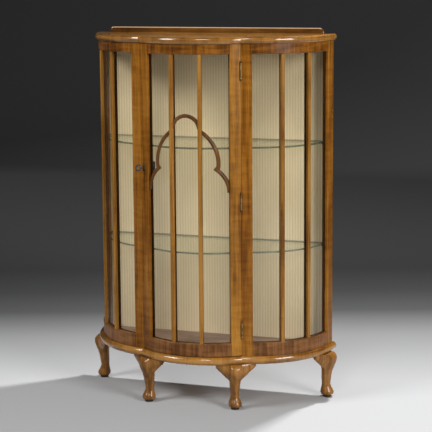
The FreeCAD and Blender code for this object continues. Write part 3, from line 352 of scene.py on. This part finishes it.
def ribbed_cloth(name):
    """Cream cloth with upright ribs, finer cords and a plain weave across them, and a little fading."""
    material, tree, shader = blank_finish(
        name, Sheen_Weight=0.25, Sheen_Roughness=0.4, Specular_IOR_Level=0.2, Roughness=0.9)
    place = object_place(tree)
    x, _, z = place_axes(tree)
    wander = cloud(tree, stretched(tree, place, (1.0, 1.0, 0.2)), scale=60.0, detail=2.0)
    most_wander = 0.9
    straight = sums(tree, "MULTIPLY", x, 2 * math.pi / RIB_PITCH)
    phase = sums(tree, "MULTIPLY_ADD", wander, most_wander, straight)
    rib = wave(tree, "COSINE", phase)
    cord = wave(tree, "COSINE", sums(tree, "MULTIPLY", phase, CORDS_IN_RIB))
    weft = wave(tree, "SINE", sums(tree, "MULTIPLY", z, 2 * math.pi / WEFT_PITCH))
    slubs = cloud(tree, stretched(tree, place, (1.0, 1.0, 0.03)), scale=420.0, detail=3.0, roughness=0.6)
    fade = cloud(tree, place, scale=3.5, detail=3.0)
    yarn = shades(tree, fade, (0.3, (0.70, 0.565, 0.345)), (0.7, (0.80, 0.665, 0.425)))
    cord_share, slub_share, weft_share = 0.3, 0.5, 0.35
    ridge = sums(tree, "MULTIPLY_ADD", cord, cord_share, rib)
    groove = spread(tree, sums(tree, "MULTIPLY_ADD", slubs, slub_share, ridge), 0.2, 1.3, 0.34, 0.0)
    shade_in_groove = (0.30, 0.20, 0.095)
    tree.links.new(blended(tree, groove, yarn, shade_in_groove), shader.inputs["Base Color"])
    roughened(tree, shader, sums(tree, "MULTIPLY_ADD", weft, weft_share, cord), strength=0.5, distance=0.0004)
    return material


clear_glass = glass("clear_glass", (0.985, 0.985, 0.975))
shelf_glass = glass("shelf_glass", (0.97, 0.985, 0.965),
                    edge_tint=((0.035, 0.06, 0.035), (0.085, 0.13, 0.085)))
aged_brass = metal("aged_brass", (0.09, 0.055, 0.02), (0.36, 0.23, 0.085), roughness=(0.3, 0.5), tarnish=0.38)
dark_steel = metal("dark_steel", (0.035, 0.032, 0.03), (0.16, 0.15, 0.14), roughness=(0.3, 0.5), tarnish=0.35)
cream_cloth = ribbed_cloth("cream_cloth")

FINISHES = {
    figured_walnut: (
        "right_front_stile", "left_front_stile", "right_rear_stile", "left_rear_stile", "door_lock_stile"),
    lit_hinge_stile_walnut: ("door_hinge_stile",),
    bar_walnut: (
        "right_front_bar", "right_rear_bar", "left_front_bar", "left_rear_bar", "door_left_bar",
        "door_right_bar"),
    cross_banded: ("right_top_rail", "left_top_rail", "door_top_rail"),
    red_walnut: ("right_bottom_rail", "left_bottom_rail", "door_bottom_rail"),
    edge_walnut: ("base_board", "top_board"),
    gallery_walnut: ("gallery_rail",),
    carved_walnut: (
        "right_front_leg", "left_front_leg", "right_rear_leg", "left_rear_leg", "right_front_leg_ears",
        "left_front_leg_ears", "right_rear_leg_ear", "left_rear_leg_ear"),
    dark_fretwork: ("door_tracery",),
    inner_beading: ("right_glass_beads", "left_glass_beads", "door_glass_beads", "door_stops"),
    clear_glass: ("right_glass", "left_glass", "door_glass"),
    shelf_glass: ("lower_shelf", "upper_shelf"),
    cream_cloth: ("back_lining",),
    back_plywood: ("back_panel",),
    aged_brass: (
        "upper_hinge_frame_leaf", "middle_hinge_frame_leaf", "lower_hinge_frame_leaf",
        "upper_hinge_door_leaf", "middle_hinge_door_leaf", "lower_hinge_door_leaf", "upper_hinge_pin",
        "middle_hinge_pin", "lower_hinge_pin", "lower_shelf_pegs", "upper_shelf_pegs", "keyhole_escutcheon"),
    dark_steel: ("lock_case", "lock_bolt", "lock_key", "lock_keeper"),
}
for finish, names in FINISHES.items():
    for name in names:
        slots = nodes[name].data.materials
        slots.clear()
        slots.append(finish)


# New pieces

SHARP_TURN = math.radians(40)
UPRIGHT = Matrix.Rotation(math.radians(90), 3, "X")


def everything(shape):
    """All vertices, edges and faces of a shape, as the operators take them."""
    return shape.verts[:] + shape.edges[:] + shape.faces[:]


def new_points(made):
    """The vertices among what an extrusion made."""
    return [item for item in made["geom"] if isinstance(item, bmesh.types.BMVert)]


def finished_piece(name, shape, finish, body, smooth=True):
    """A piece at the origin with its place in its mesh, which rides on a body."""
    mesh = bpy.data.meshes.new(name)
    shape.to_mesh(mesh)
    shape.free()
    mesh.materials.append(finish)
    for face in mesh.polygons:
        face.use_smooth = smooth
    if smooth:
        mesh.set_sharp_from_angle(angle=SHARP_TURN)
    piece = bpy.data.objects.new(name, mesh)
    bpy.context.scene.collection.objects.link(piece)
    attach(piece, body)
    return piece


def lining_cloth():
    """The ribbed cloth stretched over the lining board and turned round its edges."""
    low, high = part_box("back_lining")
    width, height = high.x - low.x, high.z - low.z
    steps_in_rib, rows = 6, 24
    rib_height, pucker_height = 0.0005, 0.0006
    puckers_across, puckers_up = 9, 2.5
    columns = round(width / RIB_PITCH) * steps_in_rib
    cloth = bmesh.new()
    bmesh.ops.create_grid(cloth, x_segments=columns, y_segments=rows, size=0.5)
    bmesh.ops.scale(cloth, vec=(width, height, 1.0), verts=cloth.verts)
    bmesh.ops.rotate(cloth, cent=(0, 0, 0), matrix=UPRIGHT, verts=cloth.verts)
    middle = Vector((0.0, low.y, (low.z + high.z) / 2))
    bmesh.ops.translate(cloth, vec=middle, verts=cloth.verts)
    for vert in cloth.verts:
        rib = 0.5 + 0.5 * math.cos(2 * math.pi * vert.co.x / RIB_PITCH)
        place = Vector((vert.co.x * puckers_across, 0.0, vert.co.z * puckers_up))
        pucker = 0.5 + 0.5 * noise.noise(place)
        vert.co.y -= rib_height * rib + pucker_height * pucker
    rim = [edge for edge in cloth.edges if edge.is_boundary]
    for vert in new_points(bmesh.ops.extrude_edge_only(cloth, edges=rim)):
        vert.co.y = high.y
    piece = finished_piece("lining_cloth", cloth, cream_cloth, "cabinet")
    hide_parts("back_lining")


def floor_veneer():
    """The stained floor inside: the outline of a shelf, laid on the base."""
    low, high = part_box("lower_shelf")
    thickness = 0.0006
    sheet = bmesh.new()
    sheet.from_mesh(nodes["lower_shelf"].data)
    bmesh.ops.remove_doubles(sheet, verts=sheet.verts, dist=1e-6)
    bmesh.ops.translate(sheet, vec=(0, 0, -low.z), verts=sheet.verts)
    bmesh.ops.scale(sheet, vec=(1, 1, thickness / (high.z - low.z)), verts=sheet.verts)
    bmesh.ops.translate(sheet, vec=(0, 0, FLOOR_Z), verts=sheet.verts)
    finished_piece("floor_veneer", sheet, stained_floor, "cabinet", smooth=False)


# Section of the tracery's moulding: distance across it and rise from its back, in millimetres
TRACERY_SECTION = ((-5.8, 0), (-5.8, 2.4), (-5, 4.5), (-3.1, 6.2), (0, 6.9),
                   (3.1, 6.2), (5, 4.5), (5.8, 2.4), (5.8, 0))
# Radius of the moulding's back, close in front of the door glass
TRACERY_BACK = 0.254


def tracery_band(strip, centre, radius, start, end, steps):
    """Sweep the moulding round a centre on the flat front, between two angles in degrees, rising in -Y."""
    pivot = (centre[0], 0.0, centre[1])
    ring = [strip.verts.new((centre[0] + radius + across / 1000, -rise / 1000, centre[1]))
            for across, rise in TRACERY_SECTION]
    section = strip.faces.new(ring)
    bmesh.ops.rotate(strip, cent=pivot, matrix=Matrix.Rotation(-math.radians(start), 3, "Y"), verts=ring)
    bmesh.ops.spin(strip, geom=[section], cent=pivot, axis=(0, 1, 0), angle=-math.radians(end - start),
                   steps=steps)


def bend_to_door(strip):
    """Lay a flat strip on the door's glass, which is part of a round drum."""
    for vert in strip.verts:
        drum = TRACERY_BACK - vert.co.y
        vert.co.y = DOOR_CENTRE.y - math.sqrt(drum ** 2 - vert.co.x ** 2)


def trim_at(strip, turn, side):
    """Cut off and close what lies past an upright plane through the middle of the door's drum."""
    facing = Vector((math.cos(turn), math.sin(turn), 0.0)) * side
    cut = bmesh.ops.bisect_plane(strip, geom=everything(strip), dist=1e-6, plane_co=(0.0, DOOR_CENTRE.y, 0.0),
                                 plane_no=facing, clear_outer=True)
    rim = [item for item in cut["geom_cut"] if isinstance(item, bmesh.types.BMEdge)]
    bmesh.ops.holes_fill(strip, edges=rim, sides=0)


def moulded_tracery():
    """The crown between the door bars and the flared wings beside them, with a rounded moulding."""
    tracery = bmesh.new()
    flare_radius = 0.090
    flare_x = TRACERY_BACK * math.sin(DOOR_LIP) - flare_radius
    tracery_band(tracery, centre=(-0.020, FLOOR_Z + 0.612), radius=0.120, start=-9, end=75, steps=28)
    tracery_band(tracery, centre=(flare_x, FLOOR_Z + 0.521), radius=flare_radius, start=0, end=57, steps=18)
    bend_to_door(tracery)
    trim_at(tracery, DOOR_LIP, side=1)
    trim_at(tracery, BAR_TURN + HALF_BAR, side=-1)
    bmesh.ops.mirror(tracery, geom=everything(tracery), axis="X", merge_dist=0.0)
    crown = bmesh.new()
    tracery_band(crown, centre=(0.0, FLOOR_Z + 0.716), radius=0.043, start=4, end=176, steps=32)
    bend_to_door(crown)
    trim_at(crown, BAR_TURN - HALF_BAR, side=1)
    trim_at(crown, HALF_BAR - BAR_TURN, side=-1)
    spare = bpy.data.meshes.new("crown")
    crown.to_mesh(spare)
    crown.free()
    tracery.from_mesh(spare)
    bpy.data.meshes.remove(spare)
    bmesh.ops.remove_doubles(tracery, verts=tracery.verts, dist=1e-7)
    bmesh.ops.recalc_face_normals(tracery, faces=tracery.faces)
    piece = finished_piece("moulded_tracery", tracery, dark_fretwork, "door")
    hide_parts("door_tracery")


def screw_head(radius, rise):
    """A round-headed screw with one slot, seated at the origin and facing +Z."""
    rounding, half_slot, slot_depth = rise * 0.7, radius * 0.14, rise * 0.5
    head = bmesh.new()
    bmesh.ops.create_cone(head, cap_ends=True, segments=20, radius1=radius, radius2=radius, depth=rise)
    bmesh.ops.translate(head, vec=(0, 0, rise / 2), verts=head.verts)
    rim = [edge for edge in head.edges if all(vert.co.z > rise / 2 for vert in edge.verts)]
    bmesh.ops.bevel(head, geom=rim, offset=rounding, offset_type="OFFSET", segments=3, profile=0.5,
                    affect="EDGES", material=-1)
    for side in (-half_slot, half_slot):
        bmesh.ops.bisect_plane(head, geom=everything(head), dist=1e-7, plane_co=(0, side, 0),
                               plane_no=(0, 1, 0))
    least_upward, inside_slot = 0.2, half_slot * 0.9
    slot = [face for face in head.faces
            if face.normal.z > least_upward and abs(face.calc_center_median().y) < inside_slot]
    low = new_points(bmesh.ops.extrude_face_region(head, geom=slot))
    bmesh.ops.delete(head, geom=slot, context="FACES")
    bmesh.ops.translate(head, vec=(0, 0, -slot_depth), verts=low)
    bmesh.ops.recalc_face_normals(head, faces=head.faces)
    mesh = bpy.data.meshes.new("screw_head")
    head.to_mesh(mesh)
    head.free()
    return mesh


def screws(name, seats, radius, rise, finish, body):
    """Screws on their seats, each a point, the way it faces and the turn of its slot in degrees."""
    pattern = screw_head(radius, rise)
    heads = bmesh.new()
    for point, facing, turn in seats:
        old = len(heads.verts)
        heads.from_mesh(pattern)
        heads.verts.ensure_lookup_table()
        stand = Vector(facing).to_track_quat("Z", "Y").to_matrix().to_4x4()
        place = Matrix.Translation(point) @ stand @ Matrix.Rotation(math.radians(turn), 4, "Z")
        bmesh.ops.transform(heads, matrix=place, verts=heads.verts[old:])
    bpy.data.meshes.remove(pattern)
    finished_piece(name, heads, finish, body)


def hinge_screws():
    """Three nearly flush screws in each leaf of the three hinges, seen when the door is open."""
    inward = Vector((-math.sin(JOINT_TURN), math.cos(JOINT_TURN), 0.0))
    to_door = Vector((-math.cos(JOINT_TURN), -math.sin(JOINT_TURN), 0.0))
    start = Vector((VALLEY.x, VALLEY.y, 0.0))
    half_gap, depth_in, spacing = 0.0005, 0.0095, 0.0165
    # Degrees by which a slot's turn changes from hinge to hinge, from screw to screw and from leaf to leaf
    hinge_turn, screw_turn, leaf_turn = 35, 70, 20
    for name, body, side in (("frame_leaf_screws", "cabinet", -1), ("door_leaf_screws", "door", 1)):
        seats = []
        for level, middle in enumerate(HINGE_LEVELS):
            for step in (-1, 0, 1):
                rise = Vector((0.0, 0.0, middle + step * spacing))
                point = start + inward * depth_in + to_door * half_gap * side + rise
                turn = hinge_turn * level + screw_turn * step + leaf_turn * side
                seats.append((point, -to_door * side, turn))
        screws(name, seats, radius=0.0026, rise=0.0003, finish=aged_brass, body=body)


def lock_screws():
    """Four screws in the lock case and two in the keeper, on the faces that look into the cabinet."""
    outward = Vector((math.sin(LOCK_TURN), -math.cos(LOCK_TURN), 0.0))
    to_keeper = Vector((outward.y, -outward.x, 0.0))
    middle = Vector((DOOR_CENTRE.x, DOOR_CENTRE.y, LOCK_Z))
    # Distances of the two faces from the middle of the door's drum, and places of the screws on them
    case_face, keeper_face, keeper_middle = 0.233, 0.2345, 0.0239
    case_across, case_rise, case_turn = 0.0125, 0.014, 40
    case_corners = [(across, rise) for across in (-case_across, case_across)
                    for rise in (-case_rise, case_rise)]
    keeper_rises_and_turns = ((0.0036, 25), (0.0164, 100))

    def seat(face, across, rise, turn):
        """A screw's seat on a face at a distance from the middle of the drum."""
        point = middle + outward * face + to_keeper * across + Vector((0, 0, rise))
        return point, -outward, turn

    case_seats = [seat(case_face, across, rise, case_turn * index)
                  for index, (across, rise) in enumerate(case_corners)]
    keeper_seats = [seat(keeper_face, keeper_middle, rise, turn) for rise, turn in keeper_rises_and_turns]
    screws("lock_screws", case_seats, radius=0.0024, rise=0.0011, finish=dark_steel, body="door")
    screws("keeper_screws", keeper_seats, radius=0.0016, rise=0.0008, finish=dark_steel, body="cabinet")


lining_cloth()
floor_veneer()
moulded_tracery()
hinge_screws()
lock_screws()


# Studio

# Greys of the backdrop paper by metres behind the middle of the cabinet, as the camera looks: the paper's own
# grey with painted shade where the studio light falls off behind the cabinet
PAPER_GREYS_AND_SHADE = ((0.15, 0.46), (0.75, 0.28), (1.15, 0.085), (1.5, 0.05), (1.95, 0.035), (5.0, 0.125),
               (6.1, 0.06))
PAPER_DEPTH = 6.4
PAPER_TINT = Vector((1.0, 1.008, 1.02))


def studio_paper():
    """Slightly cool grey paper with a faint fleck, pale before the cabinet and dark behind it: its own grey
    with painted shade where the studio light falls off.
    """
    material, tree, shader = blank_finish("studio_paper", Roughness=0.85, Specular_IOR_Level=0.1)
    x, y, _ = place_axes(tree)
    ahead = sums(tree, "MULTIPLY", y, math.cos(CAMERA_TURN))
    depth = sums(tree, "MULTIPLY_ADD", x, -math.sin(CAMERA_TURN), ahead)
    stops = [(metres / PAPER_DEPTH, grey * PAPER_TINT) for metres, grey in PAPER_GREYS_AND_SHADE]
    paper = shades(tree, spread(tree, depth, 0.0, PAPER_DEPTH), *stops)
    fleck = spread(tree, cloud(tree, object_place(tree), scale=240.0, detail=2.0), 0.3, 0.7, to_high=0.015)
    fleck_grey = (0.5, 0.5, 0.5)
    tree.links.new(blended(tree, fleck, paper, fleck_grey), shader.inputs["Base Color"])
    return material


def studio_sweep():
    """A pale floor that turns up into a grey wall behind the cabinet."""
    half_width, near, far, bend, tall = 8.0, -7.0, 4.8, 1.6, 5.5
    sweep = bmesh.new()
    front, foot = (sweep.verts.new((-half_width, y, 0.0)) for y in (near, far))
    sweep.edges.new((front, foot))
    turn = bmesh.ops.spin(sweep, geom=[foot], cent=(0, far, bend), axis=(1, 0, 0),
                          angle=math.radians(90), steps=24)
    top = next(item for item in turn["geom_last"] if isinstance(item, bmesh.types.BMVert))
    sweep.edges.new((top, sweep.verts.new((-half_width, top.co.y, tall))))
    far_side = new_points(bmesh.ops.extrude_edge_only(sweep, edges=list(sweep.edges)))
    bmesh.ops.translate(sweep, vec=(2 * half_width, 0, 0), verts=far_side)
    bmesh.ops.remove_doubles(sweep, verts=sweep.verts, dist=1e-5)
    mesh = bpy.data.meshes.new("studio_sweep")
    sweep.to_mesh(mesh)
    sweep.free()
    mesh.materials.append(studio_paper())
    for face in mesh.polygons:
        face.use_smooth = True
    piece = bpy.data.objects.new("studio_sweep", mesh)
    bpy.context.scene.collection.objects.link(piece)


def soft_lamp(name, place, target, size, power):
    """A square lamp of a size in metres and a power in watts, turned to its target."""
    lamp = bpy.data.lights.new(name, "AREA")
    lamp.shape = "SQUARE"
    lamp.size = size
    lamp.energy = power
    holder = bpy.data.objects.new(name, lamp)
    holder.location = place
    holder.rotation_euler = (Vector(target) - Vector(place)).to_track_quat("-Z", "Y").to_euler()
    bpy.context.scene.collection.objects.link(holder)


def studio_world():
    """A dim even light from all round."""
    world = bpy.data.worlds.new("studio_air")
    world.use_nodes = True
    air = world.node_tree.nodes["Background"]
    air.inputs["Color"].default_value = (0.9, 0.9, 0.9, 1.0)
    air.inputs["Strength"].default_value = 0.08
    bpy.context.scene.world = world


def camera():
    """A long lens a little to the right of the cabinet, looking slightly down."""
    place = (1.4509, -4.2527, 1.3863)
    turn, dip, roll = CAMERA_TURN, math.radians(8.452), math.radians(-0.413)
    ahead = Vector((-math.sin(turn) * math.cos(dip), math.cos(turn) * math.cos(dip), -math.sin(dip)))
    level = Vector((math.cos(turn), math.sin(turn), 0.0))
    upright = level.cross(ahead)
    right = level * math.cos(roll) + upright * math.sin(roll)
    up = upright * math.cos(roll) - level * math.sin(roll)
    lens = bpy.data.cameras.new("camera")
    lens.sensor_width = 36.0
    lens.lens = 118.87
    lens.shift_y = -0.09
    holder = bpy.data.objects.new("camera", lens)
    facing = Matrix((right, up, -ahead)).transposed().to_4x4()
    holder.matrix_world = Matrix.Translation(place) @ facing
    bpy.context.scene.collection.objects.link(holder)
    bpy.context.scene.camera = holder


studio_sweep()
studio_world()
soft_lamp("left_box", place=(-3.0, -2.8, 3.5), target=(0.0, 0.0, 0.75), size=1.5, power=146.0)
soft_lamp("right_box", place=(3.4, -1.9, 1.9), target=(0.0, 0.0, 1.1), size=1.5, power=128.0)
soft_lamp("front_fill", place=(0.5, -4.3, 4.0), target=(0.0, 0.0, 0.7), size=1.3, power=66.0)
soft_lamp("high_rear_box", place=(0.7, 1.2, 2.9), target=(0.1, -0.2, 0.3), size=0.2, power=100.0)
camera()
bpy.context.scene.view_settings.view_transform = "Standard"
